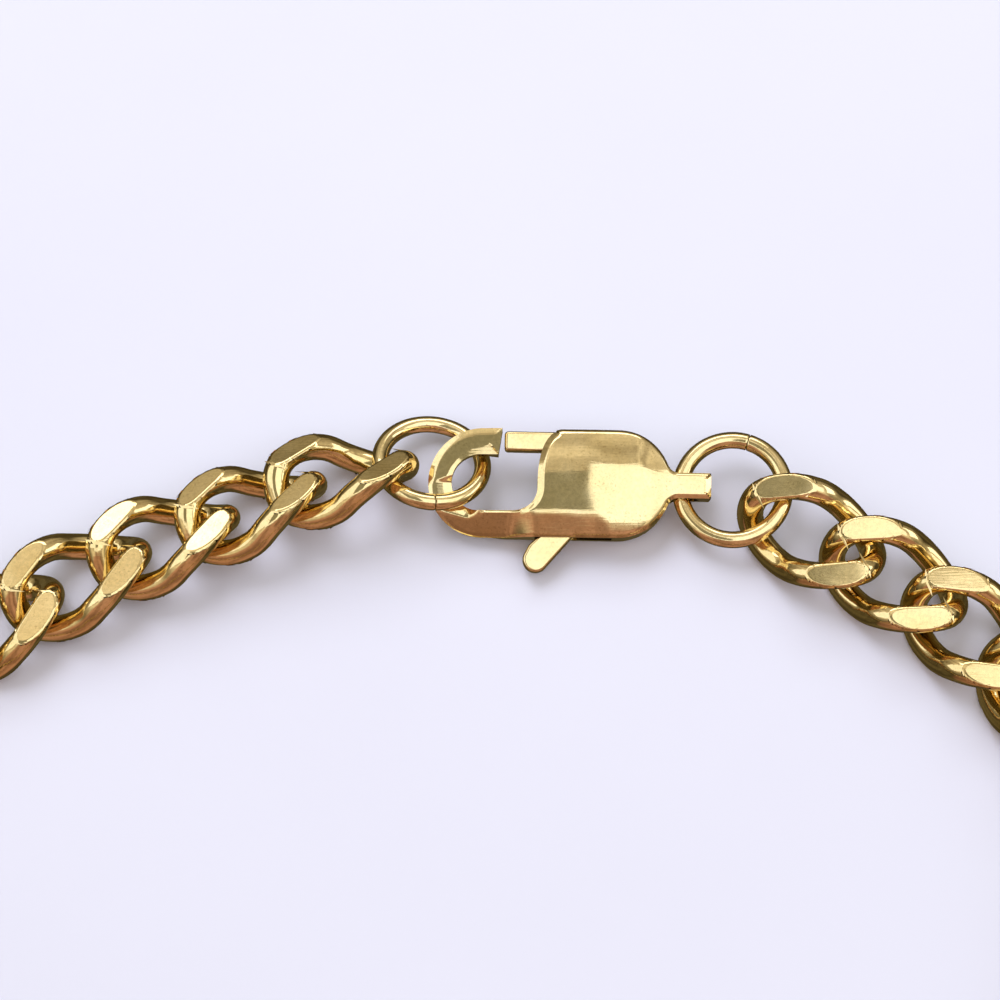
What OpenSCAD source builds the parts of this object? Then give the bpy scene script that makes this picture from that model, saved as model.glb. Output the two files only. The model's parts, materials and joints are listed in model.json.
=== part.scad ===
/* [Chain] */
// Number of curb links in the chain
link_count = 34; // [32:1:36]
// Length of a link, outside
link_long = 8.5; // [8.4:0.05:8.7]
// Width of a link, outside
link_wide = 5.9; // [5.8:0.05:6]
// Thickness of the wire of a link
link_wire = 1.5; // [1.4:0.05:1.55]
// Turn of each end of a link out of the flat, in degrees
link_twist = 50; // [46:1:54]
// Height of the chain between its two planed faces
chain_height = 2.75; // [2.5:0.05:2.9]
// Distance from one link to the next along the chain
link_step = 5.0; // [4.9:0.02:5.1]

/* [Jump rings] */
// Outside diameter of both jump rings
ring_out = 6.45; // [6.4:0.05:6.55]
// Thickness of the wire of the jump rings
ring_wire = 0.9; // [0.8:0.05:0.95]

/* [Clasp] */
// Length of the clasp from the bend of the hook to the end of the tail
clasp_long = 15.1; // [15:0.1:15.4]
// Width of the clasp's plate
clasp_wide = 5.8; // [5.7:0.05:6]
// Thickness of the clasp at the middle of its plate
clasp_thick = 2.7; // [2.65:0.05:3]
// Thickness of the hook at its bend
hook_thick = 0.95; // [0.85:0.05:1]
// Lean of the clasp towards the wrist, in degrees
clasp_lean = 15; // [14:1:16]
// Radius of the pin that the lever turns on
pin_radius = 0.45; // [0.35:0.05:0.55]

/* [Hidden] */
$fn = 64;
gold = [0.86, 0.70, 0.36];
pale_gold = [0.93, 0.80, 0.50];

// Sizes of one link, measured at the middle of its wire
wire_r = link_wire / 2;
half_long = (link_long - link_wire) / 2;
half_wide = (link_wide - link_wire) / 2;
oval_power = 2 / 2.4;
link_stations = 16;
wire_sides = 6;

// A power that keeps the sign of its base
function signed_pow(v, p) = sign(v) * pow(abs(v), p);

// Turn of the oval at a share u of its half length. Most of it is near the middle.
twist_power = 0.8;
function twist_at(u) = -link_twist * signed_pow(u, twist_power);

// Middle of the wire of a link: a squarish oval turned more and more about its long axis
function oval_point(t) =
    let (x = half_long * signed_pow(cos(t), oval_power),
         y = half_wide * signed_pow(sin(t), oval_power),
         turn = twist_at(x / half_long))
    [x, y * cos(turn), y * sin(turn)];

// Outward direction of the oval at t, turned in the same way
function oval_outward(t) =
    let (x = half_long * signed_pow(cos(t), oval_power),
         turn = twist_at(x / half_long),
         nx = half_wide * cos(t),
         ny = half_long * sin(t))
    [nx, ny * cos(turn), ny * sin(turn)];

function unit(v) = v / norm(v);

// One ring of wire corners at t, cut off at the two planed faces
function oval_section(t) =
    let (step = 2,
         along = unit(oval_point(t + step) - oval_point(t - step)),
         rough = oval_outward(t),
         out = unit(rough - (rough * along) * along),
         side = cross(along, out),
         mid = oval_point(t))
    [for (k = [0:wire_sides - 1])
        let (a = 360 * (k + 0.5) / wire_sides,
             p = mid + wire_r * (cos(a) * out + sin(a) * side))
        [p.x, p.y, max(-chain_height / 2, min(chain_height / 2, p.z))]];

// Two triangles for each patch between neighbouring rings of corners, on a closed tube
function tube_faces(rings, sides) =
    [for (i = [0:rings - 1], k = [0:sides - 1], half = [0, 1])
        let (j = (i + 1) % rings,
             m = (k + 1) % sides)
        half == 0 ? [i * sides + k, j * sides + k, j * sides + m]
                  : [i * sides + k, j * sides + m, i * sides + m]];

// One curb link lying along X with its middle at the origin
link_points = [for (i = [0:link_stations - 1], p = oval_section(360 * (i + 0.5) / link_stations)) p];
module curb_link() {
    color(gold)
        polyhedron(link_points, tube_faces(link_stations, wire_sides), convexity = 6);
}

// The chain lies on one smooth path of five arcs, from the link beside the hook round
// the wrist to the link beside the tail. Each end has its place and heading beside the clasp.
left_start = [-12.17, -0.04];
left_heading = 197;
left_radius = 90;
left_turn = 15;
right_start = [12.81, -3.13];
right_heading = -25;
right_radius = 34;
right_turn = 22;
// A longer chain bends round the wrist in wider side arcs
side_radius = 17.5 + 0.75 * (link_count - 34);

function heading(a) = [cos(a), sin(a)];
// Centre of the arc that starts at p with heading a, bends by radius r, and turns left or right
function arc_centre(p, a, r, left) = p + (left ? 1 : -1) * r * heading(a + 90);
// Point reached on that arc after turning through an angle
function arc_point(centre, a, r, left, turned) =
    centre + (left ? -1 : 1) * r * heading(a + 90 + (left ? turned : -turned));

left_centre = arc_centre(left_start, left_heading, left_radius, true);
left_end = arc_point(left_centre, left_heading, left_radius, true, left_turn);
left_side = arc_centre(left_end, left_heading + left_turn, side_radius, true);
right_centre = arc_centre(right_start, right_heading, right_radius, false);
right_end = arc_point(right_centre, right_heading, right_radius, false, right_turn);
right_side = arc_centre(right_end, right_heading - right_turn, side_radius, false);

// The front arc touches both side arcs from outside. Its centre lies on the line that is
// as far from one side arc's centre as from the other's.
side_span = right_side - left_side;
side_gap = norm(side_span);
side_angle = atan2(side_span.y, side_span.x);
function front_centre(front_radius) =
    (left_side + right_side) / 2
    + sqrt(pow(front_radius - side_radius, 2) - pow(side_gap / 2, 2)) * heading(side_angle + 90);
function left_side_turn(front_radius) =
    let (d = left_side - front_centre(front_radius),
         touch = atan2(d.y, d.x),
         turned = touch - (left_heading + left_turn - 90))
    turned - 360 * floor(turned / 360);
function right_side_turn(front_radius) =
    let (d = right_side - front_centre(front_radius),
         touch = atan2(d.y, d.x),
         turned = (right_heading - right_turn + 90) - touch)
    turned - 360 * floor(turned / 360);
function front_turn(front_radius) =
    360 - (left_turn + left_side_turn(front_radius)) - (right_turn + right_side_turn(front_radius))
    - (left_heading - 180 - right_heading);
function arc_long(r, a) = PI * r * a / 180;
function path_long(front_radius) =
    arc_long(left_radius, left_turn) + arc_long(right_radius, right_turn)
    + arc_long(side_radius, left_side_turn(front_radius) + right_side_turn(front_radius))
    + arc_long(front_radius, front_turn(front_radius));

// The front arc gets flatter and the path shorter as its radius grows, so halving the
// interval finds the radius at which the path has the chain's length
function find_radius(low, high, tries) =
    let (mid = (low + high) / 2)
    tries == 0 ? mid
    : path_long(mid) > chain_long ? find_radius(mid, high, tries - 1)
    : find_radius(low, mid, tries - 1);

chain_long = (link_count - 1) * link_step;
front_radius = find_radius(side_gap / 2 + side_radius, 400, 40);
front_middle = front_centre(front_radius);
left_turned = left_side_turn(front_radius);
right_turned = right_side_turn(front_radius);

// Lengths of the arcs in order, and the place and heading at a distance along the path
long_1 = arc_long(left_radius, left_turn);
long_2 = arc_long(side_radius, left_turned);
long_3 = arc_long(front_radius, front_turn(front_radius));
long_4 = arc_long(side_radius, right_turned);
function along_arc(centre, start_heading, r, distance) =
    let (a = start_heading + 180 * distance / (PI * r))
    [centre.x + r * cos(a - 90), centre.y + r * sin(a - 90), a];
function path_place(s) =
    s < long_1 ? along_arc(left_centre, left_heading, left_radius, s)
    : s < long_1 + long_2
        ? along_arc(left_side, left_heading + left_turn, side_radius, s - long_1)
    : s < long_1 + long_2 + long_3
        ? along_arc(front_middle, left_heading + left_turn + left_turned, front_radius,
                    s - long_1 - long_2)
    : s < long_1 + long_2 + long_3 + long_4
        ? along_arc(right_side, right_heading + 180 + 360 - right_turn - right_turned, side_radius,
                    s - long_1 - long_2 - long_3)
    : along_arc(right_centre, right_heading + 180 + 360 - right_turn, right_radius,
                s - long_1 - long_2 - long_3 - long_4);

// The links beside the jump rings lie tipped, because a ring passes through them at a slant.
// Columns: number of the link, roll about its own length, turn away from the path,
// height above the surface, shift along the path
tipped_links = [
    [1, 27.9, -6, 0.18, 0],
    [2, 23.6, 1, 0, 0],
    [3, 14.8, -1.7, 0.07, -0.05],
    [4, 7, -0.2, 0.03, -0.05],
    [link_count - 2, -5.9, 1.2, 0, 0.1],
    [link_count - 1, -10.4, 2.3, 0, 0.1],
    [link_count, -15.2, -3.8, 0.17, 0]];
function tipped(i) =
    let (found = search(i, tipped_links))
    len(found) == 0 ? [i, 0, 0, 0, 0] : tipped_links[found[0]];

// Height of the middle of a rolled link whose lowest point touches the surface
function rolled_height(roll) = -min([for (p = link_points) p.y * sin(roll) + p.z * cos(roll)]);

// The origin is the middle of the loop, on the surface that it lies on. The far edge of the
// ring in the hook is the far edge of the loop.
loop_far_y = 4.278;
loop_near_y = front_middle.y - front_radius - link_wide / 2;
loop_left_x = left_side.x - side_radius;
loop_right_x = right_side.x + side_radius;
module from_loop_middle() {
    translate([-(loop_left_x + loop_right_x) / 2, -(loop_near_y + loop_far_y) / 2, 0])
        children();
}

module placed_link(i) {
    lie = tipped(i);
    roll = lie[1];
    place = path_place((i - 1) * link_step + lie[4]);
    from_loop_middle()
        translate([place.x, place.y, rolled_height(roll) + lie[3]])
            rotate(place[2] + lie[2])
                rotate([roll, 0, 0])
                    curb_link();
}

// The clasp is drawn flat, with its middle line on X, its hook to the left and its back on
// the plane z = 0. clasp_place then leans it on its lower edge.
half_clasp = clasp_wide / 2;
hook_x = -clasp_long / 2;
tail_x = clasp_long / 2;
bend_x = hook_x + half_clasp;
plate_x = 2.55;
dome_radius = 6;
tail_half_wide = 0.68;
tail_corner = 0.25;
neck_fillet = 0.6;

clasp_yaw = -1.2;
clasp_lift = half_clasp * sin(clasp_lean) + 0.02;
module clasp_place() {
    from_loop_middle()
        translate([0, 0, clasp_lift])
            rotate(clasp_yaw)
                rotate([clasp_lean, 0, 0])
                    children();
}

// Outline of the whole clasp without its opening
module clasp_outline() {
    translate([bend_x, 0])
        circle(half_clasp);
    translate([plate_x, 0])
        circle(half_clasp);
    translate([bend_x, -half_clasp])
        square([plate_x - bend_x, clasp_wide]);
    translate([plate_x, -tail_half_wide])
        square([tail_x - tail_corner - plate_x, 2 * tail_half_wide]);
    for (side = [-1, 1])
        translate([tail_x - tail_corner, side * (tail_half_wide - tail_corner)])
            circle(tail_corner);
    translate([tail_x - 2 * tail_corner, -tail_half_wide + tail_corner])
        square([2 * tail_corner, 2 * (tail_half_wide - tail_corner)]);
    neck_fillets();
}

// Fillets where the round shoulders of the plate run into the tail
fillet_y = tail_half_wide + neck_fillet;
fillet_x = plate_x + sqrt(pow(half_clasp + neck_fillet, 2) - pow(fillet_y, 2));
module neck_fillets() {
    for (side = [-1, 1])
        scale([1, side])
            difference() {
                polygon([[plate_x, 0], [fillet_x, 0], [fillet_x, tail_half_wide],
                         [fillet_x, fillet_y], [plate_x, 0]]);
                translate([fillet_x, fillet_y])
                    circle(neck_fillet);
            }
}

// The opening of the hook, from the inside of its bend to the left edge of the plate
open_left = hook_x + 1.25;
open_right = -1.7;
open_half = 1.5;
open_corner = 1.2;
mouth_left = -3.65;
mouth_right_top = -0.1;
module clasp_opening() {
    translate([open_left + open_half, 0])
        circle(open_half);
    translate([open_left + open_half, -open_half])
        square([open_right - open_corner - open_left - open_half, 2 * open_half]);
    translate([open_right - open_corner, -open_half + open_corner])
        circle(open_corner);
    translate([open_right - open_corner - 0.1, -open_half + open_corner])
        square([open_corner + 0.1, 2 * open_half - open_corner]);
    polygon([[mouth_left - 0.2, open_half - 0.1], [open_right, open_half - 0.1],
             [open_right + 0.1, half_clasp - 0.9], [mouth_right_top, half_clasp + 1],
             [mouth_left + 0.2, half_clasp + 1]]);
}

// Profile across the clasp: flat back with bevelled edges, low dome on top in flat strips
dome_strips = 8;
back_bevel = 0.3;
side_room = 0.2;
function dome_z(y) = clasp_thick - dome_radius + sqrt(pow(dome_radius, 2) - pow(y, 2));
module cross_profile() {
    side = half_clasp + side_room;
    polygon(concat(
        [[-side, back_bevel + side_room], [-half_clasp + back_bevel, 0],
         [half_clasp - back_bevel, 0], [side, back_bevel + side_room]],
        [for (i = [dome_strips:-1:0])
            let (y = side * (2 * i / dome_strips - 1))
            [y, dome_z(y)]]));
}

// Profile along the clasp: the hook and the tail are thinner than the plate
hook_low = 0.75;
hook_high = hook_low + hook_thick;
tail_low = 0.15;
tail_high = 2.05;
module long_profile() {
    polygon([[hook_x - 1, hook_low], [-4.5, hook_low], [-3.2, 0], [4.2, 0], [5.2, tail_low],
             [tail_x + 1, tail_low], [tail_x + 1, tail_high], [5.6, tail_high],
             [3.6, clasp_thick + 0.05], [-1.6, clasp_thick + 0.05], [-3.3, hook_high + 0.4],
             [-5.0, hook_high], [hook_x - 1, hook_high]]);
}

// Where the lever turns, and the room that its slot leaves above and below it
pivot = [1.7, 0.9];
lever_low = 0.77;
lever_high = 1.75;
slot_play = 0.06;
pin_fit = 0.03;

// Outline of the lever: gate bar, hub and thumb tab
gate_nose_x = -3.5;
gate_low_y = 1.72;
gate_high_y = 2.78;
hub_radius = 1.05;
tab_tip = [-1.74, -4.08];
tab_tip_radius = 0.68;
module lever_outline() {
    nose = 0.2;
    translate([gate_nose_x + nose, gate_low_y])
        square([pivot.x - gate_nose_x - nose, gate_high_y - gate_low_y]);
    translate([gate_nose_x, gate_low_y + nose])
        square([1, gate_high_y - gate_low_y - 2 * nose]);
    for (y = [gate_low_y + nose, gate_high_y - nose])
        translate([gate_nose_x + nose, y])
            circle(nose);
    translate(pivot)
        circle(hub_radius);
    polygon([[pivot.x, gate_high_y], [pivot.x - 2.2, gate_low_y], [-1.0, -1.6], [-1.15, -2.7],
             [-2.22, -3.58], [-1.9, -4.3], [-1.3, -4.54], [0.3, -2.75], [pivot.x + 0.9, 0.4],
             [pivot.x + 0.95, 1.3]]);
    translate(tab_tip)
        circle(tab_tip_radius);
}

// Room for the lever through its whole swing
module slot_outline() {
    translate(pivot)
        circle(hub_radius + 0.3);
    polygon([[open_right - 1.6, half_clasp + 0.5], [open_right - 1.6, -0.3], [open_right - 0.6, -0.9],
             [open_right - 0.6, -2.2], [open_right - 1, -half_clasp - 0.5],
             [2.5, -half_clasp - 0.5], [pivot.x + hub_radius + 0.3, 0.9],
             [pivot.x + 0.3, half_clasp + 0.5]]);
}

// Low seat on the bend of the hook, which the jump ring crosses
seat_z = 1.4;
seat_top_y = -0.25;
seat_slope_y = 0.5;
seat_right = -5.1;
module hook_seat() {
    translate([hook_x - 1, 0, 0])
        rotate([90, 0, 90])
            linear_extrude(seat_right - hook_x + 1)
                polygon([[-half_clasp - 1, seat_z], [seat_top_y, seat_z],
                         [seat_top_y + seat_slope_y, hook_high + 0.3],
                         [seat_top_y + seat_slope_y, clasp_thick + 1],
                         [-half_clasp - 1, clasp_thick + 1]]);
}

eye_radius = 0.62;
eye_z = 1.1;
eye_left = 5.98;
eye_right = 6.32;
module clasp_body() {
    reach = 20;
    color(pale_gold)
        clasp_place()
            difference() {
                intersection() {
                    translate([0, 0, -1])
                        linear_extrude(clasp_thick + 2)
                            difference() {
                                clasp_outline();
                                clasp_opening();
                            }
                    rotate([90, 0, 90])
                        translate([0, 0, -reach / 2])
                            linear_extrude(reach)
                                cross_profile();
                    rotate([90, 0, 0])
                        translate([0, 0, -reach / 2])
                            linear_extrude(reach)
                                long_profile();
                }
                hook_seat();
                translate([0, 0, lever_low - slot_play])
                    linear_extrude(lever_high - lever_low + 2 * slot_play)
                        slot_outline();
                translate([pivot.x, pivot.y, lever_low - 0.25])
                    cylinder(r = pin_radius + pin_fit, h = lever_high - lever_low + 0.5);
                for (x = [eye_left, eye_right])
                    translate([x, reach / 2, eye_z])
                        rotate([90, 0, 0])
                            cylinder(r = eye_radius, h = reach);
                translate([eye_left, -reach / 2, eye_z - eye_radius])
                    cube([eye_right - eye_left, reach, 2 * eye_radius]);
            }
}

module clasp_lever() {
    color(pale_gold)
        clasp_place()
            difference() {
                translate([0, 0, lever_low])
                    linear_extrude(lever_high - lever_low)
                        lever_outline();
                translate([pivot.x, pivot.y, -1])
                    cylinder(r = pin_radius + pin_fit, h = clasp_thick + 2);
            }
}

module lever_pin() {
    color(gold)
        clasp_place()
            translate([pivot.x, pivot.y, lever_low - 0.22])
                cylinder(r = pin_radius, h = lever_high - lever_low + 0.44);
}

// A round jump ring cut through at one place, flat in its own plane
ring_middle_r = (ring_out - ring_wire) / 2;
ring_slit = 2;
module jump_ring(slit_at) {
    color(pale_gold)
        rotate(slit_at + ring_slit / 2)
            rotate_extrude(angle = 360 - ring_slit, $fn = 96)
                translate([ring_middle_r, 0])
                    circle(ring_wire / 2, $fn = 32);
}

hook_ring_place = [-7.39, 1.03, 1.82];
hook_ring_tip = [-18.4, 7.4];
hook_ring_slit = -88;
module hook_ring() {
    from_loop_middle()
        translate(hook_ring_place)
            rotate([hook_ring_tip.x, hook_ring_tip.y, 0])
                jump_ring(hook_ring_slit);
}

tail_ring_place = [8.72, -0.62, 2.01];
tail_ring_tip = [5.8, -4.2];
tail_ring_slit = 70;
module tail_ring() {
    from_loop_middle()
        translate(tail_ring_place)
            rotate([tail_ring_tip.x, tail_ring_tip.y, 0])
                jump_ring(tail_ring_slit);
}

for (i = [1:link_count])
    placed_link(i);
hook_ring();
tail_ring();
clasp_body();
clasp_lever();
lever_pin();
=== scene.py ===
"""A curb-link chain bracelet with a lobster-claw clasp, lying closed on a pale surface."""

import json
import math

import bmesh
import bpy
import numpy as np
from bpy.props import FloatProperty, FloatVectorProperty, PointerProperty
from mathutils import Matrix, Vector


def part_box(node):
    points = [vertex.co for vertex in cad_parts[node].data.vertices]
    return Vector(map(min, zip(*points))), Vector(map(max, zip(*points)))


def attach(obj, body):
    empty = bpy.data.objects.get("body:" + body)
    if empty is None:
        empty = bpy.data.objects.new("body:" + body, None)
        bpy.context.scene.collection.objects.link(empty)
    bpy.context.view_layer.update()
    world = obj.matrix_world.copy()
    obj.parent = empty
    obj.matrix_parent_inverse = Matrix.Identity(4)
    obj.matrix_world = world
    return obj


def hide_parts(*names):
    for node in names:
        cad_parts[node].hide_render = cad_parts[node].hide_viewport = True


bl_info = {
    "name": "Link bracelet",
    "version": (1, 0, 0),
    "blender": (4, 5, 0),
    "location": "3D View > Sidebar > Bracelet",
    "description": "Builds a polished curb-link bracelet with its jump rings and lobster clasp",
    "category": "Add Mesh",
}

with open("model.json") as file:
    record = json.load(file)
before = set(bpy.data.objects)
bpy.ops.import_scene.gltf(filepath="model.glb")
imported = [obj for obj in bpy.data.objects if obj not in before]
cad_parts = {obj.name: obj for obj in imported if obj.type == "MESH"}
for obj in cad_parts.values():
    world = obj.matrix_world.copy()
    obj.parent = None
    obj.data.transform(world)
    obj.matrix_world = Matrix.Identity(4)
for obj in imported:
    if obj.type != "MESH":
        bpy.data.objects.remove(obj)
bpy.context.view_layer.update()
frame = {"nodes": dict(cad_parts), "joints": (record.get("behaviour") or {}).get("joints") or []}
NODES = frame["nodes"]
HINGE = frame["joints"][0]
MM = 0.001
LINK_NODES = sorted(name for name in NODES if name.startswith("link_"))


class ChainSettings(bpy.types.PropertyGroup):
    """Sizes of one curb link"""
    link_long: FloatProperty(
        name="Link length", description="Length of a link, outside",
        default=8.42 * MM, unit="LENGTH")
    link_wide: FloatProperty(
        name="Link width", description="Width of a link, outside",
        default=5.82 * MM, unit="LENGTH")
    link_wire: FloatProperty(
        name="Link wire", description="Thickness of the wire of a link",
        default=1.42 * MM, unit="LENGTH")
    link_twist: FloatProperty(
        name="Link twist", description="Turn of each end of a link out of the flat",
        default=math.radians(50), subtype="ANGLE")
    chain_height: FloatProperty(
        name="Chain height", description="Height of a link between its two planed faces",
        default=2.75 * MM, unit="LENGTH")
    planed_edge: FloatProperty(
        name="Planed edge", description="Width of the worn edge round a planed face",
        default=0.12 * MM, unit="LENGTH")


class RingSettings(bpy.types.PropertyGroup):
    """Sizes of the two jump rings"""
    ring_out: FloatProperty(
        name="Ring diameter", description="Outside diameter of a jump ring",
        default=6.45 * MM, unit="LENGTH")
    ring_wire: FloatProperty(
        name="Ring wire", description="Thickness of the wire of a jump ring",
        default=0.9 * MM, unit="LENGTH")
    hook_slit: FloatProperty(
        name="Slit of the ring in the hook", description="Where that ring is cut through",
        default=math.radians(-88), subtype="ANGLE")
    tail_slit: FloatProperty(
        name="Slit of the ring in the tail", description="Where that ring is cut through",
        default=math.radians(70), subtype="ANGLE")
    slit_turn: FloatProperty(
        name="Slit width", description="Turn that the slit takes out of a ring",
        default=math.radians(0.5), subtype="ANGLE")


class ClaspSettings(bpy.types.PropertyGroup):
    """Sizes of the clasp, which is drawn flat with its middle line on X and its hook to the left"""
    clasp_long: FloatProperty(
        name="Clasp length", description="Length from the bend of the hook to the end of the tail",
        default=15.1 * MM, unit="LENGTH")
    clasp_wide: FloatProperty(
        name="Clasp width", description="Width of the plate",
        default=5.8 * MM, unit="LENGTH")
    clasp_thick: FloatProperty(
        name="Clasp thickness", description="Thickness at the middle of the plate",
        default=2.7 * MM, unit="LENGTH")
    hook_thick: FloatProperty(
        name="Hook thickness", description="Thickness of the hook at its bend",
        default=0.95 * MM, unit="LENGTH")
    hook_bevel: FloatProperty(
        name="Hook bevel", description="Width of the bevels on both sides of the hook",
        default=0.32 * MM, unit="LENGTH")
    plate_bevel: FloatProperty(
        name="Plate bevel", description="Width of the bevel on the plate's left edge",
        default=0.34 * MM, unit="LENGTH")
    pin_radius: FloatProperty(
        name="Pin radius", description="Radius of the pin that the lever turns on",
        default=0.45 * MM, unit="LENGTH")


class FinishSettings(bpy.types.PropertyGroup):
    """Colours and wear of the metal"""
    gold: FloatVectorProperty(
        name="Gold", description="Colour of the links",
        default=(0.92, 0.745, 0.40), subtype="COLOR", min=0, max=1)
    pale_gold: FloatVectorProperty(
        name="Pale gold", description="Colour of the clasp and the jump rings",
        default=(0.95, 0.79, 0.45), subtype="COLOR", min=0, max=1)
    polish: FloatProperty(
        name="Roughness", description="Roughness of the polished metal",
        default=0.075, min=0, max=1)
    planed_dull: FloatProperty(
        name="Planed dullness", description="Roughness that planing adds to the flats of the links",
        default=0.03, min=0, max=1)
    scratch_depth: FloatProperty(
        name="Scratch depth", description="Strength of the fine scratches",
        default=0.12, min=0, max=1)
    grain: FloatProperty(
        name="Grain", description="How much the fine grain darkens the metal",
        default=0.11, min=0, max=1)
    wave_depth: FloatProperty(
        name="Wave depth", description="Strength of the shallow waves that polishing leaves",
        default=0.45, min=0, max=1)


class StageSettings(bpy.types.PropertyGroup):
    """Floor, lights and camera"""
    floor_colour: FloatVectorProperty(
        name="Floor", description="Colour of the floor",
        default=(0.71, 0.745, 0.94), subtype="COLOR", min=0, max=1)
    elevation: FloatProperty(
        name="Camera elevation", description="Height of the camera above the horizon",
        default=math.radians(68), subtype="ANGLE")
    lens: FloatProperty(
        name="Lens", description="Focal length of the camera in millimetres",
        default=85, min=20, max=200)
    fill_power: FloatProperty(
        name="Floor light", description="Power of the soft light on the floor, in watts",
        default=0.62, min=0)


# Small helpers that every operator uses

def deselect_all():
    """Leave edit mode and select nothing."""
    if bpy.context.object and bpy.context.object.mode != "OBJECT":
        bpy.ops.object.mode_set(mode="OBJECT")
    bpy.ops.object.select_all(action="DESELECT")


def pick(piece):
    """Make one piece the only selected and active object."""
    deselect_all()
    piece.select_set(True)
    bpy.context.view_layer.objects.active = piece


def edit(piece, select_mode="FACE", select_all=False):
    """Enter edit mode on one piece with all or nothing selected."""
    pick(piece)
    bpy.ops.object.mode_set(mode="EDIT")
    bpy.ops.mesh.select_mode(type=select_mode)
    bpy.ops.mesh.select_all(action="SELECT" if select_all else "DESELECT")


def select_faces(piece, wanted):
    """In edit mode, select the faces for which wanted(face) is true."""
    mesh = bmesh.from_edit_mesh(piece.data)
    for face in mesh.faces:
        face.select_set(bool(wanted(face)))
    bmesh.update_edit_mesh(piece.data)


def apply_modifiers(piece):
    pick(piece)
    for modifier in list(piece.modifiers):
        bpy.ops.object.modifier_apply(modifier=modifier.name)


def settle(piece, matrix):
    """Put a piece in its place, with the place in its mesh and its object at the origin."""
    pick(piece)
    piece.matrix_world = matrix
    bpy.ops.object.transform_apply(location=True, rotation=True, scale=True)


def smooth(piece, angle):
    """Smooth shading up to an angle, in which large faces stay level up to their bevels."""
    pick(piece)
    bpy.ops.object.shade_smooth_by_angle(angle=angle)
    weighted = piece.modifiers.new("weighted", "WEIGHTED_NORMAL")
    weighted.keep_sharp = True
    apply_modifiers(piece)


def outward(piece):
    """Merge doubled corners and turn every face outwards."""
    edit(piece, "VERT", select_all=True)
    bpy.ops.mesh.remove_doubles(threshold=0.002 * MM)
    bpy.ops.mesh.normals_make_consistent(inside=False)
    bpy.ops.object.mode_set(mode="OBJECT")


def close_holes(piece):
    """Fill any tiny hole that a cut left open."""
    edit(piece, "VERT", select_all=True)
    bpy.ops.mesh.fill_holes(sides=0)
    bpy.ops.object.mode_set(mode="OBJECT")


def cut_away(piece, cutter):
    """Cut a closed tool out of a piece and remove the tool."""
    pick(piece)
    cut = piece.modifiers.new("cut", "BOOLEAN")
    cut.operation = "DIFFERENCE"
    cut.solver = "EXACT"
    cut.object = cutter
    apply_modifiers(piece)
    bpy.data.objects.remove(cutter)


def finish_piece(piece, name, material, body, slot, *nodes):
    """Name a finished piece, give it its metal and tie it to the frame."""
    piece.name = name
    piece.data.name = name
    piece.data.materials.clear()
    piece.data.materials.append(material)
    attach(piece, body)
    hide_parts(*nodes)


# Places, read from the frame

def node_points(name):
    mesh = NODES[name].data
    points = np.empty(len(mesh.vertices) * 3, np.float64)
    mesh.vertices.foreach_get("co", points)
    return points.reshape(-1, 3)


def node_axes(name):
    """Middle and main axes of a node, the longest first, from the area of its faces."""
    mesh = NODES[name].data
    points = node_points(name)
    mesh.calc_loop_triangles()
    corners = points[np.array([t.vertices[:] for t in mesh.loop_triangles])]
    areas = np.linalg.norm(np.cross(corners[:, 1] - corners[:, 0], corners[:, 2] - corners[:, 0]), axis=1)
    shares = areas / areas.sum()
    middles = corners.mean(axis=1)
    middle = shares @ middles
    spread = corners - middle
    # the exact second moment of a triangle is a ninth of its middle's plus its corners'
    moment = np.einsum("t,tci,tcj->ij", shares, spread, spread) / 12
    moment += 9 / 12 * np.einsum("t,ti,tj->ij", shares, middles - middle, middles - middle)
    values, vectors = np.linalg.eigh(moment)
    axes = vectors[:, ::-1]
    if np.linalg.det(axes) < 0:
        axes[:, 2] *= -1
    return middle, axes


def link_place(name):
    middle, axes = node_axes(name)
    place = Matrix([[*axes[row], middle[row]] for row in range(3)] + [[0, 0, 0, 1]])
    return place


def ring_place(name):
    """Place of a jump ring: the middle of its box, and its tip about X and then about Y."""
    _, axes = node_axes(name)
    normal = axes[:, 2] if axes[2, 2] > 0 else -axes[:, 2]
    low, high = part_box(name)
    tip_x = -math.asin(normal[1])
    tip_y = math.atan2(normal[0], normal[2])
    turn = Matrix.Rotation(tip_y, 4, "Y") @ Matrix.Rotation(tip_x, 4, "X")
    return Matrix.Translation((low + high) / 2) @ turn


# The lever's pin, in the clasp's own drawing
PIVOT = Vector((1.7, 0.9, 1.26)) * MM


def clasp_place():
    """Place of the clasp's drawing, from the lever's joint: its axis is the clasp's own Z."""
    axis = Vector(HINGE["axis"])
    lean = math.acos(axis.z)
    yaw = math.atan2(axis.x, -axis.y)
    turn = Matrix.Rotation(yaw, 4, "Z") @ Matrix.Rotation(lean, 4, "X")
    return Matrix.Translation(Vector(HINGE["pos_m"]) - turn @ PIVOT) @ turn


# Metals

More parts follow.
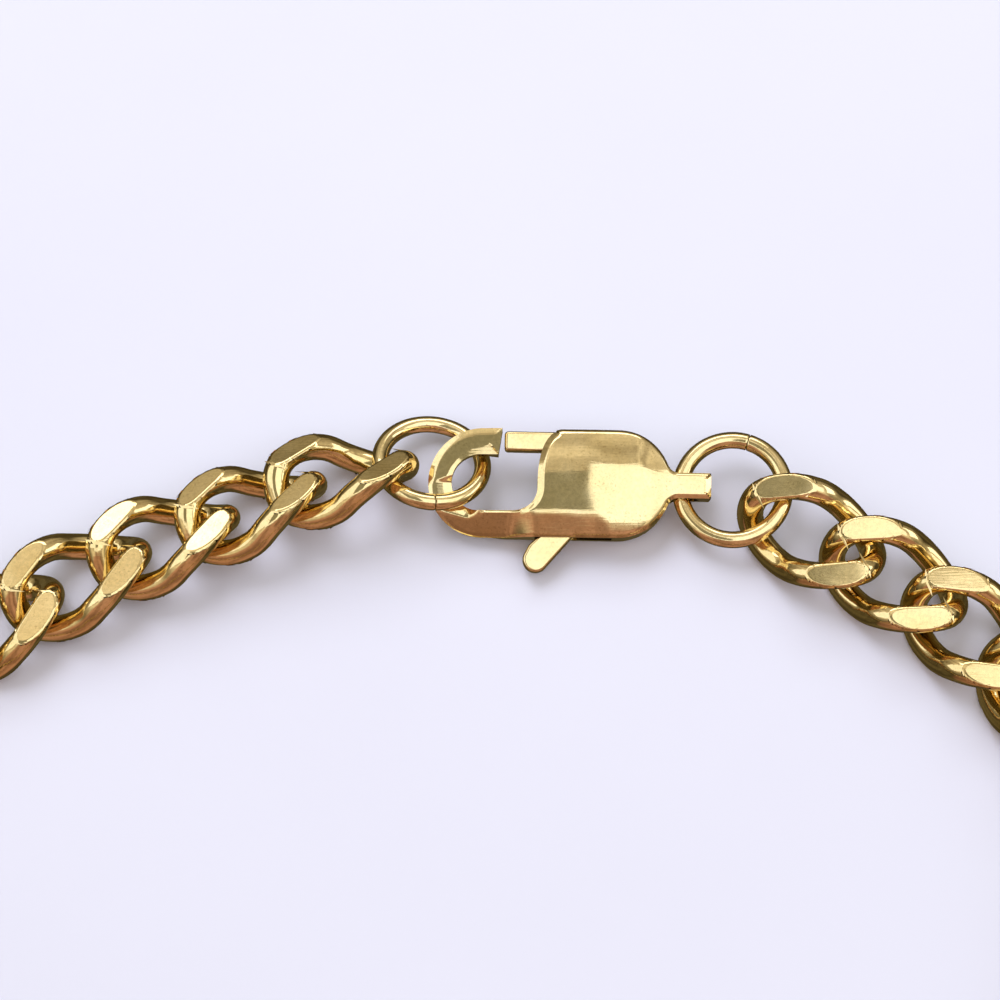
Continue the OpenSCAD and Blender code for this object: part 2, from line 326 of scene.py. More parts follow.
class Nodes:
    """Short calls that add and join the shader nodes of a material or of the world."""

    def __init__(self, owner):
        self.owner = owner
        owner.use_nodes = True
        self.tree = owner.node_tree
        self.shader = self.tree.nodes.get("Principled BSDF")

    def add(self, kind, **values):
        node = self.tree.nodes.new(kind)
        for key, value in values.items():
            if hasattr(node, key):
                setattr(node, key, value)
            else:
                node.inputs[key.replace("_", " ")].default_value = value
        return node

    def join(self, source, target):
        self.tree.links.new(source, target)

    def noise(self, stretch=(1, 1, 1), turn=(0, 0, 0), **values):
        """Noise over the piece's own place in the frame."""
        place = self.add("ShaderNodeTexCoord")
        mapping = self.add("ShaderNodeMapping")
        mapping.inputs["Scale"].default_value = stretch
        mapping.inputs["Rotation"].default_value = turn
        self.join(place.outputs["Object"], mapping.inputs["Vector"])
        noise = self.add("ShaderNodeTexNoise", **values)
        self.join(mapping.outputs["Vector"], noise.inputs["Vector"])
        return noise.outputs["Fac"]

    def ramp(self, value, *stops):
        """Colours between stops of (place, colour)."""
        ramp = self.add("ShaderNodeValToRGB")
        while len(ramp.color_ramp.elements) < len(stops):
            ramp.color_ramp.elements.new(0.5)
        for element, (place, colour) in zip(ramp.color_ramp.elements, stops):
            element.position = place
            element.color = (*colour, 1)
        self.join(value, ramp.inputs["Fac"])
        return ramp.outputs["Color"]

    def spread(self, value, low, high, to_low, to_high):
        """A value mapped from one interval to another, and held at its ends."""
        spread = self.add("ShaderNodeMapRange", clamp=True)
        for place, level in zip(("From Min", "From Max", "To Min", "To Max"), (low, high, to_low, to_high)):
            spread.inputs[place].default_value = level
        self.join(value, spread.inputs["Value"])
        return spread.outputs["Result"]

    def times(self, first, second):
        product = self.add("ShaderNodeMath", operation="MULTIPLY")
        self.join(first, product.inputs[0])
        self.join(second, product.inputs[1])
        return product.outputs["Value"]

    def bump(self, height, strength, distance, below=None):
        bump = self.add("ShaderNodeBump")
        bump.inputs["Strength"].default_value = strength
        bump.inputs["Distance"].default_value = distance
        self.join(height, bump.inputs["Height"])
        if below:
            self.join(below, bump.inputs["Normal"])
        return bump.outputs["Normal"]


def polished_gold(name, colour, finish, specks, brushed=0):
    """Mirror-polished gold plate with soft handling marks, fine scratches and tiny specks.

    Where a face carries the planed mark, the plate is brushed a little duller.
    """
    make = Nodes(bpy.data.materials.new(name))
    shader = make.shader
    shader.inputs["Metallic"].default_value = 1
    tone = make.noise(Scale=420, Detail=3, Roughness=0.55)
    darker = [c * f for c, f in zip(colour, (0.93, 0.90, 0.82))]
    lighter = [min(1, c * f) for c, f in zip(colour, (1.04, 1.05, 1.10))]
    shades = make.ramp(tone, (0.3, darker), (0.7, lighter))
    fine = make.noise(Scale=9000, Detail=1, Roughness=0.5)
    patchy = make.noise(Scale=700, Detail=2, Roughness=0.5)
    speck = make.times(make.spread(fine, 0.60, 0.70, 0, 1), make.spread(patchy, 0.42, 0.62, 0, specks))
    grime = make.add("ShaderNodeMixRGB", blend_type="MULTIPLY")
    grime.inputs["Color2"].default_value = (0.5, 0.42, 0.28, 1)
    make.join(speck, grime.inputs["Fac"])
    make.join(shades, grime.inputs["Color1"])
    grain = make.add("ShaderNodeMixRGB", blend_type="MULTIPLY", Fac=1)
    make.join(grime.outputs["Color"], grain.inputs["Color1"])
    make.join(make.ramp(make.noise(Scale=5200, Detail=2, Roughness=0.6),
                        (0.36, (1 - finish.grain,) * 3), (0.64, (1, 1, 1))), grain.inputs["Color2"])
    make.join(grain.outputs["Color"], shader.inputs["Base Color"])

    wear = make.noise(Scale=900, Detail=4, Roughness=0.6)
    gloss = make.spread(wear, 0.3, 0.75, finish.polish * 0.7, finish.polish * 1.5)
    if brushed:
        planed = make.add("ShaderNodeAttribute", attribute_name="planed")
        dull = make.add("ShaderNodeMath", operation="MULTIPLY_ADD")
        make.join(planed.outputs["Fac"], dull.inputs[0])
        dull.inputs[1].default_value = brushed
        make.join(gloss, dull.inputs[2])
        gloss = dull.outputs["Value"]
    make.join(gloss, shader.inputs["Roughness"])

    scratches = make.noise((1, 14, 5), (0.2, 0.1, 0.7), Scale=700, Detail=2, Roughness=0.5)
    waves = make.noise(Scale=330, Detail=1, Roughness=0.4)
    fine_bump = make.bump(scratches, finish.scratch_depth, 0.02 * MM)
    bump = make.bump(waves, finish.wave_depth, 0.1 * MM, fine_bump)
    make.join(bump, shader.inputs["Normal"])
    return make.owner


# Curb links

def twisted_oval(turn, half_long, half_wide, twist):
    """Point at an angle on the middle of a link's wire: a squarish oval, twisted along X."""
    oval_power = 2 / 2.4
    twist_power = 0.8
    along = math.copysign(abs(math.cos(turn)) ** oval_power, math.cos(turn))
    across = half_wide * math.copysign(abs(math.sin(turn)) ** oval_power, math.sin(turn))
    tip = -twist * math.copysign(abs(along) ** twist_power, along)
    return Vector((half_long * along, across * math.cos(tip), across * math.sin(tip)))


class BRACELET_OT_links(bpy.types.Operator):
    """Bend and plane one curb link, then copy it to every link's place in the loop"""
    bl_idname = "bracelet.links"
    bl_label = "Curb links"

    def execute(self, context):
        chain = context.scene.bracelet_chain
        finish = context.scene.bracelet_finish
        half_long = (chain.link_long - chain.link_wire) / 2
        half_wide = (chain.link_wide - chain.link_wire) / 2

        deselect_all()
        bpy.ops.curve.primitive_bezier_circle_add(radius=half_long, location=(0, 0, 0))
        wire = context.object
        bpy.ops.object.mode_set(mode="EDIT")
        bpy.ops.curve.select_all(action="SELECT")
        bpy.ops.curve.subdivide(number_cuts=9)
        bpy.ops.object.mode_set(mode="OBJECT")
        points = wire.data.splines[0].bezier_points
        for index, point in enumerate(points):
            turn = 2 * math.pi * (index + 0.5) / len(points)
            point.handle_left_type = "AUTO"
            point.handle_right_type = "AUTO"
            point.co = twisted_oval(turn, half_long, half_wide, chain.link_twist)
        wire.data.dimensions = "3D"
        wire.data.twist_mode = "MINIMUM"
        wire.data.resolution_u = 4
        wire.data.bevel_depth = chain.link_wire / 2
        wire.data.bevel_resolution = 10
        pick(wire)
        bpy.ops.object.convert(target="MESH")
        link = context.object
        outward(link)

        # Plane the top and the bottom flat, then soften the edge of each planed face
        for side in (1, -1):
            edit(link, "VERT", select_all=True)
            bpy.ops.mesh.bisect(plane_co=(0, 0, side * chain.chain_height / 2), plane_no=(0, 0, side),
                                use_fill=True, clear_outer=True, threshold=0.0001 * MM)
        edit(link)
        select_faces(link, lambda face: len(face.verts) > 8)
        bpy.ops.mesh.region_to_loop()
        bpy.ops.mesh.bevel(offset=chain.planed_edge, segments=3, affect="EDGES")
        bpy.ops.object.mode_set(mode="OBJECT")
        planed = link.data.attributes.new("planed", "FLOAT", "FACE")
        for face in link.data.polygons:
            planed.data[face.index].value = 1 if abs(face.normal.z) > 0.999 and len(face.vertices) > 8 else 0
        smooth(link, math.radians(24))

        metal = polished_gold("link_gold", finish.gold, finish, 0.35, finish.planed_dull)
        for node in LINK_NODES:
            copy = link.copy()
            copy.data = link.data.copy()
            context.collection.objects.link(copy)
            settle(copy, link_place(node))
            rub_flat(copy)
            finish_piece(copy, "curb_" + node, metal, "bracelet", "link_gold", node)
        bpy.data.objects.remove(link)
        return {"FINISHED"}


def rub_flat(link):
    """Cut off what would dip below the floor, as wear does."""
    edit(link, "VERT", select_all=True)
    bpy.ops.mesh.bisect(plane_co=(0, 0, 0.004 * MM), plane_no=(0, 0, 1), use_fill=True, clear_inner=True,
                        threshold=0.0001 * MM)
    close_holes(link)


class BRACELET_OT_jump_rings(bpy.types.Operator):
    """Spin a round wire into each jump ring, with its cut joint"""
    bl_idname = "bracelet.jump_rings"
    bl_label = "Jump rings"

    def execute(self, context):
        rings = context.scene.bracelet_rings
        finish = context.scene.bracelet_finish
        metal = polished_gold("ring_gold", finish.pale_gold, finish, 0.4)
        middle_radius = (rings.ring_out - rings.ring_wire) / 2
        for node, slit in (("hook_ring", rings.hook_slit), ("tail_ring", rings.tail_slit)):
            deselect_all()
            bpy.ops.mesh.primitive_circle_add(
                vertices=32, radius=rings.ring_wire / 2, fill_type="NGON",
                location=(middle_radius, 0, 0), rotation=(math.pi / 2, 0, 0))
            ring = context.object
            bpy.ops.object.transform_apply(location=True, rotation=True, scale=True)
            edit(ring, select_all=True)
            bpy.ops.mesh.spin(steps=144, angle=2 * math.pi - rings.slit_turn,
                              center=(0, 0, 0), axis=(0, 0, 1))
            bpy.ops.object.mode_set(mode="OBJECT")
            outward(ring)
            edit(ring)
            select_faces(ring, lambda face: len(face.verts) > 8)
            bpy.ops.mesh.region_to_loop()
            bpy.ops.mesh.bevel(offset=0.05 * MM, segments=2, affect="EDGES")
            bpy.ops.object.mode_set(mode="OBJECT")
            smooth(ring, math.radians(35))
            start = Matrix.Rotation(slit + rings.slit_turn / 2, 4, "Z")
            settle(ring, ring_place(node) @ start)
            finish_piece(ring, "jump_" + node, metal, "bracelet", "ring_gold", node)
        return {"FINISHED"}


# The clasp's drawing. Its body is a ribbon between two edges: the outer edge runs from the
# tip of the hook round the bend, along the lower side and round the shoulder to the tail, and
# the inner edge runs inside the hook, up the left edge of the plate and along its top.

BEND_X = -4.65
PLATE_X = 2.55
TAIL_HALF_WIDE = 0.68
NECK_FILLET = 0.6
OPEN_X = -4.8
OPEN_HALF = 1.5
OPEN_RIGHT = -1.7
OPEN_CORNER = 1.2
TAIL_END = 7.55


def arc(centre, radius, start, end, count):
    """Points on an arc, from one angle in degrees to another."""
    turns = np.radians(np.linspace(start, end, count))
    return np.column_stack([centre[0] + radius * np.cos(turns), centre[1] + radius * np.sin(turns)])


def line(start, end, count):
    return np.linspace(start, end, count)


def bow(start, pull, end, count):
    """Points on a curve that leaves its start and reaches its end along lines to one point."""
    share = np.linspace(0, 1, count)[:, None]
    start, pull, end = np.array(start), np.array(pull), np.array(end)
    return start * (1 - share) ** 2 + pull * 2 * share * (1 - share) + end * share ** 2


def even_points(points, count):
    """The same line drawn through evenly spaced points."""
    steps = np.linalg.norm(np.diff(points, axis=0), axis=1)
    reach = np.concatenate([[0], np.cumsum(steps)])
    places = np.linspace(0, reach[-1], count)
    return np.column_stack([np.interp(places, reach, points[:, k]) for k in (0, 1)])


def clasp_edges(half_wide):
    """The outer and the inner edge in millimetres, in stretches that face each other."""
    fillet_y = TAIL_HALF_WIDE + NECK_FILLET
    fillet_x = PLATE_X + math.sqrt((half_wide + NECK_FILLET) ** 2 - fillet_y ** 2)
    neck = math.degrees(math.atan2(fillet_y, fillet_x - PLATE_X))
    corner = OPEN_RIGHT - OPEN_CORNER
    outer = [
        line((-3.62, half_wide), (BEND_X, half_wide), 12),
        arc((BEND_X, 0), half_wide, 90, 270, 60),
        line((BEND_X, -half_wide), (-3.2, -half_wide), 14),
        line((-3.2, -half_wide), (0.2, -half_wide), 22),
        np.vstack([line((0.2, -half_wide), (PLATE_X, -half_wide), 20),
                   arc((PLATE_X, 0), half_wide, -90, -62, 12)]),
        np.vstack([arc((PLATE_X, 0), half_wide, -62, -neck, 30),
                   arc((fillet_x, -fillet_y), NECK_FILLET, 180 - neck, 90, 12)]),
        line((fillet_x, -TAIL_HALF_WIDE), (TAIL_END, -TAIL_HALF_WIDE), 20),
    ]
    inner = [
        line((-3.82, OPEN_HALF), (OPEN_X, OPEN_HALF), 12),
        arc((OPEN_X, 0), OPEN_HALF, 90, 270, 60),
        line((OPEN_X, -OPEN_HALF), (corner, -OPEN_HALF), 14),
        arc((corner, -OPEN_HALF + OPEN_CORNER), OPEN_CORNER, -90, 0, 22),
        np.vstack([line((OPEN_RIGHT, -OPEN_HALF + OPEN_CORNER), (OPEN_RIGHT, 0.1), 8),
                   bow((OPEN_RIGHT, 0.2), (OPEN_RIGHT + 0.05, 2.4), (-0.6, half_wide), 30)]),
        np.vstack([line((-0.5, half_wide), (PLATE_X, half_wide), 30),
                   arc((PLATE_X, 0), half_wide, 90, neck, 40),
                   arc((fillet_x, fillet_y), NECK_FILLET, 180 + neck, 270, 12)]),
        line((fillet_x, TAIL_HALF_WIDE), (TAIL_END, TAIL_HALF_WIDE), 20),
    ]
    return outer, inner


STATIONS = (14, 56, 16, 26, 34, 44, 18)
ROWS = 54

# Slopes and widths of the flat bevels along the edges, in millimetres
HOOK_SLOPE = 0.22
PLATE_SLOPE = 0.62
ARM_SLOPE = 1.3
ARM_RIM = 0.12
LOWER_RIM = 0.14
TIP_RIM = 0.08
TIP_BEVEL = 0.85
THROAT_BEVEL = 0.5
SHOULDER_BEVEL = 0.2
TAIL_BEVEL = 0.4
BACK_BEVEL = 0.26
BACK_SLOPE = 0.8


def ribbon_edges(half_wide):
    outer, inner = clasp_edges(half_wide)
    joined = []
    for edge in (outer, inner):
        stretches = []
        for stretch, count in zip(edge, STATIONS):
            stretches.append(even_points(stretch, count + 1)[:-1])
        stretches.append(edge[-1][-1:])
        joined.append(np.vstack(stretches))
    return joined


def soft_step(x, stops, levels):
    """Heights between named stops, eased in and out at each stop."""
    result = np.full_like(x, levels[0])
    for a, b, low, high in zip(stops, stops[1:], levels, levels[1:]):
        share = np.clip((x - a) / (b - a), 0, 1)
        result = result + (high - low) * share * share * (3 - 2 * share)
    return result


def soft_min(a, b, ease):
    near = np.clip(ease - np.abs(a - b), 0, None) / ease
    return np.minimum(a, b) - near * near * ease / 4


def clasp_top(x, y, thick, hook_thick):
    """Height of the upper surface without its edge bevels, in millimetres."""
    hook_high = 0.75 + hook_thick
    # The hook rises from its bend to its tip, and the plate from its left edge to its middle
    hook = hook_high - 0.1 + 0.16 * (x + 6.3)
    plate = soft_min(thick - 0.06 * (1.25 - x), np.full_like(x, thick), 0.04)
    onto_plate = soft_step(x, (-3.3, -1.75), (0, 1))
    along = hook * (1 - onto_plate) + plate * onto_plate
    along = along - soft_step(x, (3.5, 5.8), (0, thick - 2.05))
    dome_radius = np.where(y < 0, 9.0, 6.8)
    crown = -dome_radius + np.sqrt(dome_radius ** 2 - y ** 2)
    level = along + crown * soft_step(x, (-3.6, -1.8), (0, 1))
    # The lower side is ground to a long facet that tapers out round the shoulder
    crease = -1.62 - soft_step(x, (1.2, 5.2), (0, 1.6))
    steep = soft_step(x, (-3.6, -1.6), (0.62, 0.32))
    facet = along - 0.145 + steep * (y - crease)
    level = soft_min(level, facet, 0.03)
    # Low seat that the jump ring crosses on the bend
    seat = 1.4 + soft_step(y, (-0.15, 1.1), (0, 0.6)) + soft_step(x, (-5.5, -4.1, -3.6), (0, 0.8, 2))
    return soft_min(level, seat, 0.06)


def clasp_bottom(x):
    return soft_step(x, (-4.6, -3.2, 4.2, 5.2), (0.75, 0.0, 0.0, 0.15))


def edge_distance(points, edges, widths):
    """Distance of each point to the nearest edge, and the bevel's width at that edge."""
    starts = edges
    ends = np.roll(edges, -1, axis=0)
    spans = ends - starts
    lengths = np.maximum((spans ** 2).sum(axis=1), 1e-12)
    nearest = np.empty(len(points))
    width = np.empty(len(points))
    for index, point in enumerate(points):
        share = np.clip(((point - starts) * spans).sum(axis=1) / lengths, 0, 1)
        away = np.linalg.norm(starts + share[:, None] * spans - point, axis=1)
        best = away.argmin()
        nearest[index] = away[best]
        width[index] = widths[best]
    return nearest, width


def bevel_widths(stations, hook_bevel, plate_bevel):
    """Width of the bevel at each point of the outer edge, and then of the inner edge reversed."""
    ends = np.cumsum((0,) + STATIONS)
    outer = np.full(stations, SHOULDER_BEVEL)
    outer[:ends[2]] = np.interp(np.arange(ends[2]), (0, 48, 62), (hook_bevel, hook_bevel, LOWER_RIM))
    outer[ends[2]:ends[4]] = LOWER_RIM
    outer[-1] = TAIL_BEVEL
    inner = np.full(stations, LOWER_RIM)
    inner[:ends[1]] = np.linspace(TIP_BEVEL, THROAT_BEVEL, STATIONS[0])
    inner[ends[1]:ends[2]] = np.interp(np.arange(STATIONS[1]), (0, 16), (THROAT_BEVEL, hook_bevel))
    corner = np.arange(ends[4] - ends[2])
    inner[ends[2]:ends[4]] = np.interp(corner, (0, 16, 30), (0.3, 0.16, plate_bevel))
    inner[ends[4]:ends[5]] = plate_bevel
    inner[0] = TIP_RIM
    return np.concatenate([outer, inner[::-1]])


def bevel_drop(distance, width, slope, ease=0.03):
    """How far a flat edge bevel lies below the surface at a distance from the edge."""
    inside = slope * (distance - width)
    return -soft_min(np.zeros_like(distance), inside, ease)


class BRACELET_OT_clasp_body(bpy.types.Operator):
    """Roll a grid into the clasp's ribbon, from the hook to the tail, and cut its slot and eye"""
    bl_idname = "bracelet.clasp_body"
    bl_label = "Clasp body"

    def execute(self, context):
        clasp = context.scene.bracelet_clasp
        finish = context.scene.bracelet_finish
        outer, inner = ribbon_edges(clasp.clasp_wide / 2 / MM)
        stations = len(outer)

        # The drawing's points, closer together near both edges
        shares = 0.5 - 0.5 * np.cos(np.pi * np.arange(ROWS + 1) / ROWS)
        flat = outer[:, None, :] + shares[None, :, None] * (inner - outer)[:, None, :]
        flat = flat.reshape(-1, 2)
        x, y = flat[:, 0], flat[:, 1]
        edges = np.vstack([outer, inner[::-1]])
        widths = bevel_widths(stations, clasp.hook_bevel / MM, clasp.plate_bevel / MM)
        distance, width = edge_distance(flat, edges, widths)
        # The hook's wide bevels are flatter than the plate's, and the arm has a sharp upper rim
        slope = soft_step(x, (-3.0, -1.9), (HOOK_SLOPE, PLATE_SLOPE))
        arm = (x > -4.6) & (x < -2.6) & (y < -1.2) & (y > -1.9)
        slope = np.where(arm, ARM_SLOPE, slope)
        width = np.where(arm, ARM_RIM, width)
        high = clasp_top(x, y, clasp.clasp_thick / MM, clasp.hook_thick / MM)
        high = high - bevel_drop(distance, width, slope)
        low = clasp_bottom(x) + bevel_drop(distance, np.full_like(width, BACK_BEVEL), BACK_SLOPE)
        top = np.column_stack([flat, high]).reshape(stations, ROWS + 1, 3)
        bottom = np.column_stack([flat, low]).reshape(stations, ROWS + 1, 3)
        # A section runs across the top, down the inner wall and back across the bottom
        section = np.concatenate([top, bottom[:, ::-1], top[:, :1]], axis=1)

        deselect_all()
        around = section.shape[1]
        bpy.ops.mesh.primitive_grid_add(
            x_subdivisions=around - 1, y_subdivisions=stations - 1, size=clasp.clasp_long)
        body = context.object
        corners = np.array([v.co for v in body.data.vertices])
        order = np.lexsort((corners[:, 0].round(7), corners[:, 1].round(7)))
        placed = np.empty_like(corners)
        placed[order] = section.reshape(-1, 3) * MM
        body.data.vertices.foreach_set("co", placed.ravel())
        body.data.update()
        edit(body, "VERT", select_all=True)
        bpy.ops.mesh.remove_doubles(threshold=0.0005 * MM)
        bpy.ops.mesh.select_all(action="DESELECT")
        bpy.ops.mesh.select_mode(type="EDGE")
        bpy.ops.mesh.select_non_manifold()
        bpy.ops.mesh.edge_face_add()
        bpy.ops.object.mode_set(mode="OBJECT")
        outward(body)

        cut_away(body, slot_tool(context, clasp))
        cut_away(body, eye_tool(context))
        close_holes(body)
        smooth(body, math.radians(32))
        settle(body, clasp_place())
        metal = polished_gold("clasp_gold", finish.pale_gold, finish, 0.45)
        finish_piece(body, "lobster_body", metal, "bracelet", "clasp_gold", "clasp_body")
        return {"FINISHED"}


def drawn_plate(context, outline, low, high):
    """A flat plate with a drawn outline, from its lower to its upper face, in millimetres."""
    deselect_all()
    bpy.ops.mesh.primitive_circle_add(vertices=len(outline), radius=MM, fill_type="NGON")
    plate = context.object
    for vertex, point in zip(plate.data.vertices, outline):
        vertex.co = Vector((point[0], point[1], low)) * MM
    edit(plate, select_all=True)
    bpy.ops.mesh.extrude_region_move(TRANSFORM_OT_translate={"value": (0, 0, (high - low) * MM)})
    bpy.ops.object.mode_set(mode="OBJECT")
    outward(plate)
    return plate


# The lever, in millimetres in the clasp's drawing
LEVER_LOW = 0.77
LEVER_HIGH = 1.75
SLOT_PLAY = 0.06
GATE_LEFT = -3.5
GATE_LOW = 1.72
GATE_HIGH = 2.78
GATE_NOSE = 0.2
HUB_RADIUS = 1.0
HUB_ROOM = 1.35
TAB_TIP = (-1.74, -4.08)
TAB_RADIUS = 0.68
LEVER_BEVEL = 0.16 * MM


def slot_tool(context, clasp):
    """The room that the lever turns in."""
    out = clasp.clasp_wide / 2 / MM + 0.5
    pivot_x, pivot_y = PIVOT.x / MM, PIVOT.y / MM
    outline = np.vstack([
        [(OPEN_RIGHT - 1.6, out), (OPEN_RIGHT - 1.6, -0.3), (OPEN_RIGHT - 0.3, -0.9),
         (OPEN_RIGHT + 0.1, -2.2), (OPEN_RIGHT - 0.25, -out), (2.2, -out)],
        arc((pivot_x, pivot_y), HUB_ROOM, -10, 75, 16),
        [(pivot_x + 0.3, out)]])
    return drawn_plate(context, outline, LEVER_LOW - SLOT_PLAY, LEVER_HIGH + SLOT_PLAY)


def eye_tool(context):
    """The long eye through the tail, for its jump ring."""
    outline = np.vstack([arc((6.32, 1.1), 0.62, -90, 90, 20), arc((5.98, 1.1), 0.62, 90, 270, 20)])
    tool = drawn_plate(context, outline, -3, 3)
    settle(tool, Matrix.Rotation(math.pi / 2, 4, "X"))
    return tool


def lever_outline():
    """Gate bar, hub and thumb tab, in millimetres and anticlockwise."""
    pivot_x, pivot_y = PIVOT.x / MM, PIVOT.y / MM
    nose_x = GATE_LEFT + GATE_NOSE
    return np.vstack([
        arc((nose_x, GATE_HIGH - GATE_NOSE), GATE_NOSE, 90, 180, 6),
        arc((nose_x, GATE_LOW + GATE_NOSE), GATE_NOSE, 180, 270, 6),
        [(-0.9, GATE_LOW), (-1.0, -1.6), (-1.15, -2.3), (-1.5, -2.72), (-2.1, -3.3)],
        arc(TAB_TIP, TAB_RADIUS, 160, 315, 22),
        [(0.3, -2.75), (1.5, -0.9)],
        arc((pivot_x, pivot_y), HUB_RADIUS, -20, 80, 14),
        [(pivot_x - 0.6, GATE_HIGH)]])


class BRACELET_OT_clasp_lever(bpy.types.Operator):
    """Draw the lever, raise it, bevel its rims and drill it for the pin"""
    bl_idname = "bracelet.clasp_lever"
    bl_label = "Clasp lever"

    def execute(self, context):
        clasp = context.scene.bracelet_clasp
        finish = context.scene.bracelet_finish
        lever = drawn_plate(context, lever_outline(), LEVER_LOW, LEVER_HIGH)
        edit(lever)
        select_faces(lever, lambda face: len(face.verts) > 8)
        bpy.ops.mesh.region_to_loop()
        bpy.ops.mesh.bevel(offset=LEVER_BEVEL, segments=4, affect="EDGES")
        bpy.ops.object.mode_set(mode="OBJECT")
        deselect_all()
        bpy.ops.mesh.primitive_cylinder_add(
            vertices=40, radius=clasp.pin_radius + 0.03 * MM, depth=4 * MM, location=PIVOT)
        cut_away(lever, context.object)
        smooth(lever, math.radians(30))
        settle(lever, clasp_place())
        metal = polished_gold("lever_gold", finish.pale_gold, finish, 0.35)
        finish_piece(lever, "lobster_lever", metal, "lever", "clasp_gold", "clasp_lever")
        return {"FINISHED"}


class BRACELET_OT_lever_pin(bpy.types.Operator):
    """Give the hidden pin its polished gold metal"""
    bl_idname = "bracelet.lever_pin"
    bl_label = "Lever pin"

    def execute(self, context):
        finish = context.scene.bracelet_finish
        pin = NODES["lever_pin"]
        pin.data.materials.clear()
        pin.data.materials.append(polished_gold("pin_gold", finish.gold, finish, 0.2))
        return {"FINISHED"}


# Cards hang level above the clasp, at a height in metres. Each spans from left to right and
# from near to far, in degrees from straight up, and is as bright as its radiance.
CREAM = (1.0, 0.985, 0.93)
OLIVE = (0.33, 0.31, 0.23)
SOFT_BOXES = (
    ("over_box", 0.34, (-3, 52), (-36, 9.5), 1.45),
    ("far_box", 0.26, (-38, 30), (42, 58), 2.8),
    ("left_box", 0.16, (-74, -31), (-30, 40), 1.3),
    ("right_box", 0.16, (58, 74), (-30, 45), 1.9),
)

# Width of the picture at the clasp, and where its middle lies from the clasp's own middle
SEEN_WIDTH = 53.2 * MM
AIM_OFFSET = Vector((-3.71, -1.37, 1.63)) * MM
LAMP_OFFSET = Vector((-0.10, 0.16, 0.34))
FLOOR_LEVEL = -0.02 * MM


class BRACELET_OT_stage(bpy.types.Operator):
    """Lay the floor, hang the soft boxes and set the camera at the photo's angle"""
    bl_idname = "bracelet.stage"
    bl_label = "Stage"

    def execute(self, context):
        stage = context.scene.bracelet_stage
        centre = clasp_place().translation
        deselect_all()
        bpy.ops.mesh.primitive_plane_add(size=8, location=(0, 0, FLOOR_LEVEL))
        floor = context.object
        floor.name = "floor"
        floor.data.materials.append(floor_material(stage))
        floor.visible_glossy = False
        context.scene.world = soft_room()
        context.scene.view_settings.view_transform = "Standard"

        for name, height, across, along, radiance in SOFT_BOXES:
            hang(context, name, centre, height, across, along, radiance)
        dark = hang(context, "dark_card", centre, 0.30, (-28, -3), (-29.5, 2.5), 0.9, OLIVE)
        hang(context, "hook_strip", centre, 0.30, (-40, -3), (-37, -30), 1.2)
        dark.visible_diffuse = False
        dark.visible_shadow = False

        fill = bpy.data.lights.new("floor_fill", "AREA")
        fill.shape = "DISK"
        fill.size = 0.22
        fill.energy = stage.fill_power
        fill.color = (0.96, 0.96, 1.0)
        lamp = bpy.data.objects.new("floor_fill", fill)
        context.collection.objects.link(lamp)
        lamp.location = centre + LAMP_OFFSET
        lamp.rotation_euler = (centre - lamp.location).to_track_quat("-Z", "Y").to_euler()
        lamp.visible_glossy = False

        camera_data = bpy.data.cameras.new("camera")
        camera = bpy.data.objects.new("camera", camera_data)
        context.collection.objects.link(camera)
        context.scene.camera = camera
        camera_data.lens = stage.lens
        camera_data.sensor_width = 36
        distance = SEEN_WIDTH * stage.lens / camera_data.sensor_width
        back = Vector((0, -math.cos(stage.elevation), math.sin(stage.elevation)))
        camera.location = centre + AIM_OFFSET + back * distance
        camera.rotation_euler = (math.pi / 2 - stage.elevation, 0, 0)
        camera_data.clip_start = 0.001
        return {"FINISHED"}


def floor_material(stage):
    make = Nodes(bpy.data.materials.new("pale_floor"))
    make.shader.inputs["Roughness"].default_value = 0.85
    grain = make.noise(Scale=40, Detail=3, Roughness=0.5)
    shades = make.ramp(grain, (0.3, [c * 0.98 for c in stage.floor_colour]), (0.7, stage.floor_colour))
    make.join(shades, make.shader.inputs["Base Color"])
    return make.owner


def soft_room():
    """Light of a plain room: bright above, brown low on the viewer's side, dark at the horizon."""
    make = Nodes(bpy.data.worlds.new("soft_room"))
    direction = make.add("ShaderNodeTexCoord").outputs["Generated"]
    parts = make.add("ShaderNodeSeparateXYZ")
    make.join(direction, parts.inputs["Vector"])
    height = make.spread(parts.outputs["Z"], -1, 1, 0, 1)
    sky = make.ramp(height, (0.40, (0.10, 0.08, 0.04)), (0.52, (0.07, 0.055, 0.03)),
                    (0.62, (0.38, 0.33, 0.23)), (0.78, (0.78, 0.69, 0.54)), (1.0, (0.86, 0.77, 0.62)))
    nearness = make.spread(parts.outputs["Y"], -0.54, -0.68, 0, 0.95)
    brown = make.add("ShaderNodeMixRGB")
    brown.inputs["Color2"].default_value = (0.40, 0.21, 0.15, 1)
    make.join(nearness, brown.inputs["Fac"])
    make.join(sky, brown.inputs["Color1"])
    blotches = make.add("ShaderNodeTexNoise", Scale=2.6, Detail=3, Roughness=0.55)
    make.join(direction, blotches.inputs["Vector"])
    mottled = make.add("ShaderNodeMixRGB", blend_type="MULTIPLY", Fac=1)
    make.join(brown.outputs["Color"], mottled.inputs["Color1"])
    make.join(make.ramp(blotches.outputs["Fac"], (0.40, (0.60, 0.58, 0.54)), (0.60, (1.22, 1.22, 1.22))),
              mottled.inputs["Color2"])
    make.join(mottled.outputs["Color"], make.tree.nodes["Background"].inputs["Color"])
    return make.owner


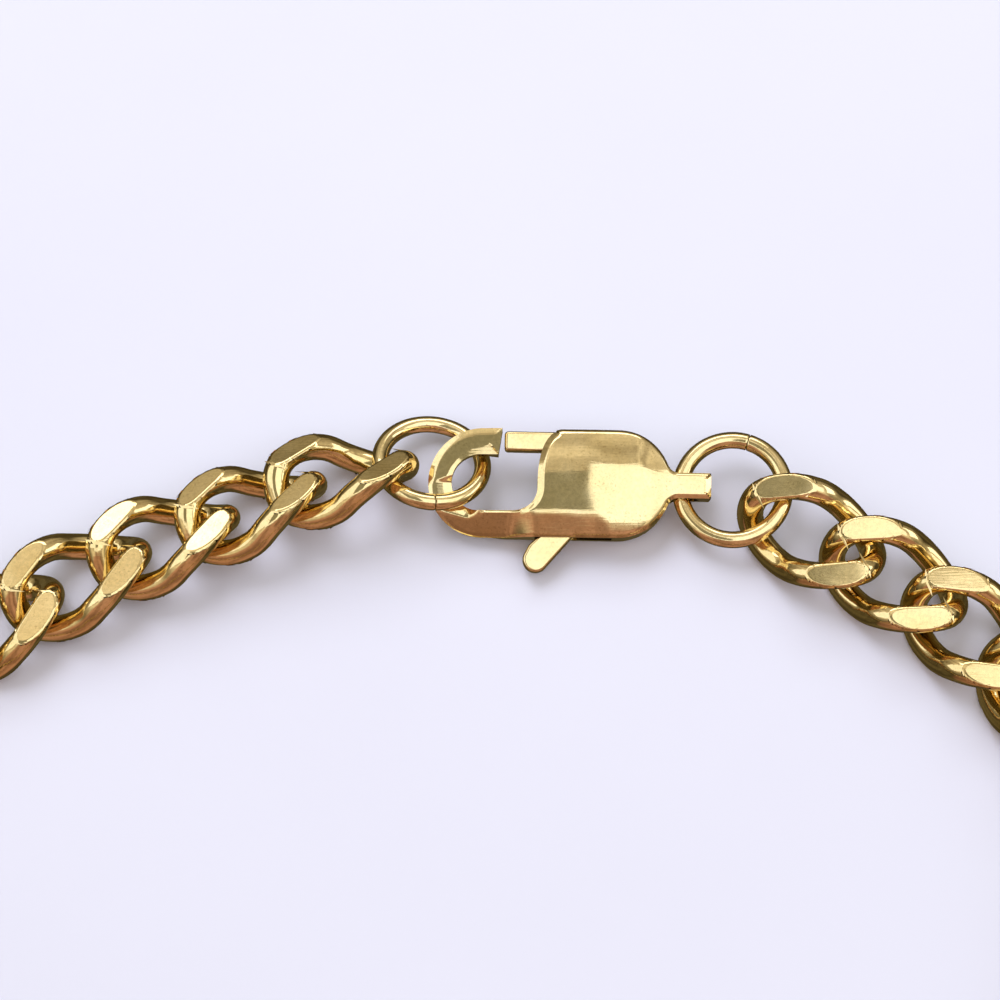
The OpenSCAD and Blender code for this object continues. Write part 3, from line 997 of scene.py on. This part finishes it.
def hang(context, name, centre, height, across, along, radiance, colour=CREAM):
    """Hang a level card above a place, spanning given angles in degrees from straight up."""
    left, right = (height * math.tan(math.radians(a)) for a in across)
    near, far = (height * math.tan(math.radians(a)) for a in along)
    middle = centre + Vector(((left + right) / 2, (near + far) / 2, height))
    deselect_all()
    bpy.ops.mesh.primitive_plane_add(size=1, location=middle)
    card = context.object
    card.name = name
    card.scale = (right - left, far - near, 1)
    bpy.ops.object.transform_apply(location=False, rotation=False, scale=True)
    make = Nodes(bpy.data.materials.new(name))
    make.tree.nodes.remove(make.shader)
    glow = make.add("ShaderNodeEmission", Color=(*colour, 1), Strength=radiance)
    make.join(glow.outputs["Emission"], make.tree.nodes["Material Output"].inputs["Surface"])
    card.data.materials.append(make.owner)
    card.visible_camera = False
    return card


class BRACELET_PT_panel(bpy.types.Panel):
    """Sizes, finishes and the steps that build the bracelet"""
    bl_label = "Link bracelet"
    bl_idname = "BRACELET_PT_panel"
    bl_space_type = "VIEW_3D"
    bl_region_type = "UI"
    bl_category = "Bracelet"

    def draw(self, context):
        for group in (context.scene.bracelet_chain, context.scene.bracelet_rings,
                      context.scene.bracelet_clasp, context.scene.bracelet_finish,
                      context.scene.bracelet_stage):
            box = self.layout.box()
            for name in group.bl_rna.properties.keys():
                if name not in ("rna_type", "name"):
                    box.prop(group, name)
        for step in STEPS:
            self.layout.operator(step.bl_idname)


SETTINGS = {
    "bracelet_chain": ChainSettings,
    "bracelet_rings": RingSettings,
    "bracelet_clasp": ClaspSettings,
    "bracelet_finish": FinishSettings,
    "bracelet_stage": StageSettings,
}
STEPS = (BRACELET_OT_links, BRACELET_OT_jump_rings, BRACELET_OT_clasp_body,
         BRACELET_OT_clasp_lever, BRACELET_OT_lever_pin, BRACELET_OT_stage)


def register():
    for group in SETTINGS.values():
        bpy.utils.register_class(group)
    for step in STEPS:
        bpy.utils.register_class(step)
    bpy.utils.register_class(BRACELET_PT_panel)
    for name, group in SETTINGS.items():
        setattr(bpy.types.Scene, name, PointerProperty(type=group))


def unregister():
    for name in SETTINGS:
        delattr(bpy.types.Scene, name)
    bpy.utils.unregister_class(BRACELET_PT_panel)
    for step in reversed(STEPS):
        bpy.utils.unregister_class(step)
    for group in reversed(list(SETTINGS.values())):
        bpy.utils.unregister_class(group)


def main():
    """Build every piece in order."""
    register()
    bpy.ops.bracelet.links()
    bpy.ops.bracelet.jump_rings()
    bpy.ops.bracelet.clasp_body()
    bpy.ops.bracelet.clasp_lever()
    bpy.ops.bracelet.lever_pin()
    bpy.ops.bracelet.stage()


if __name__ == "__main__":
    main()
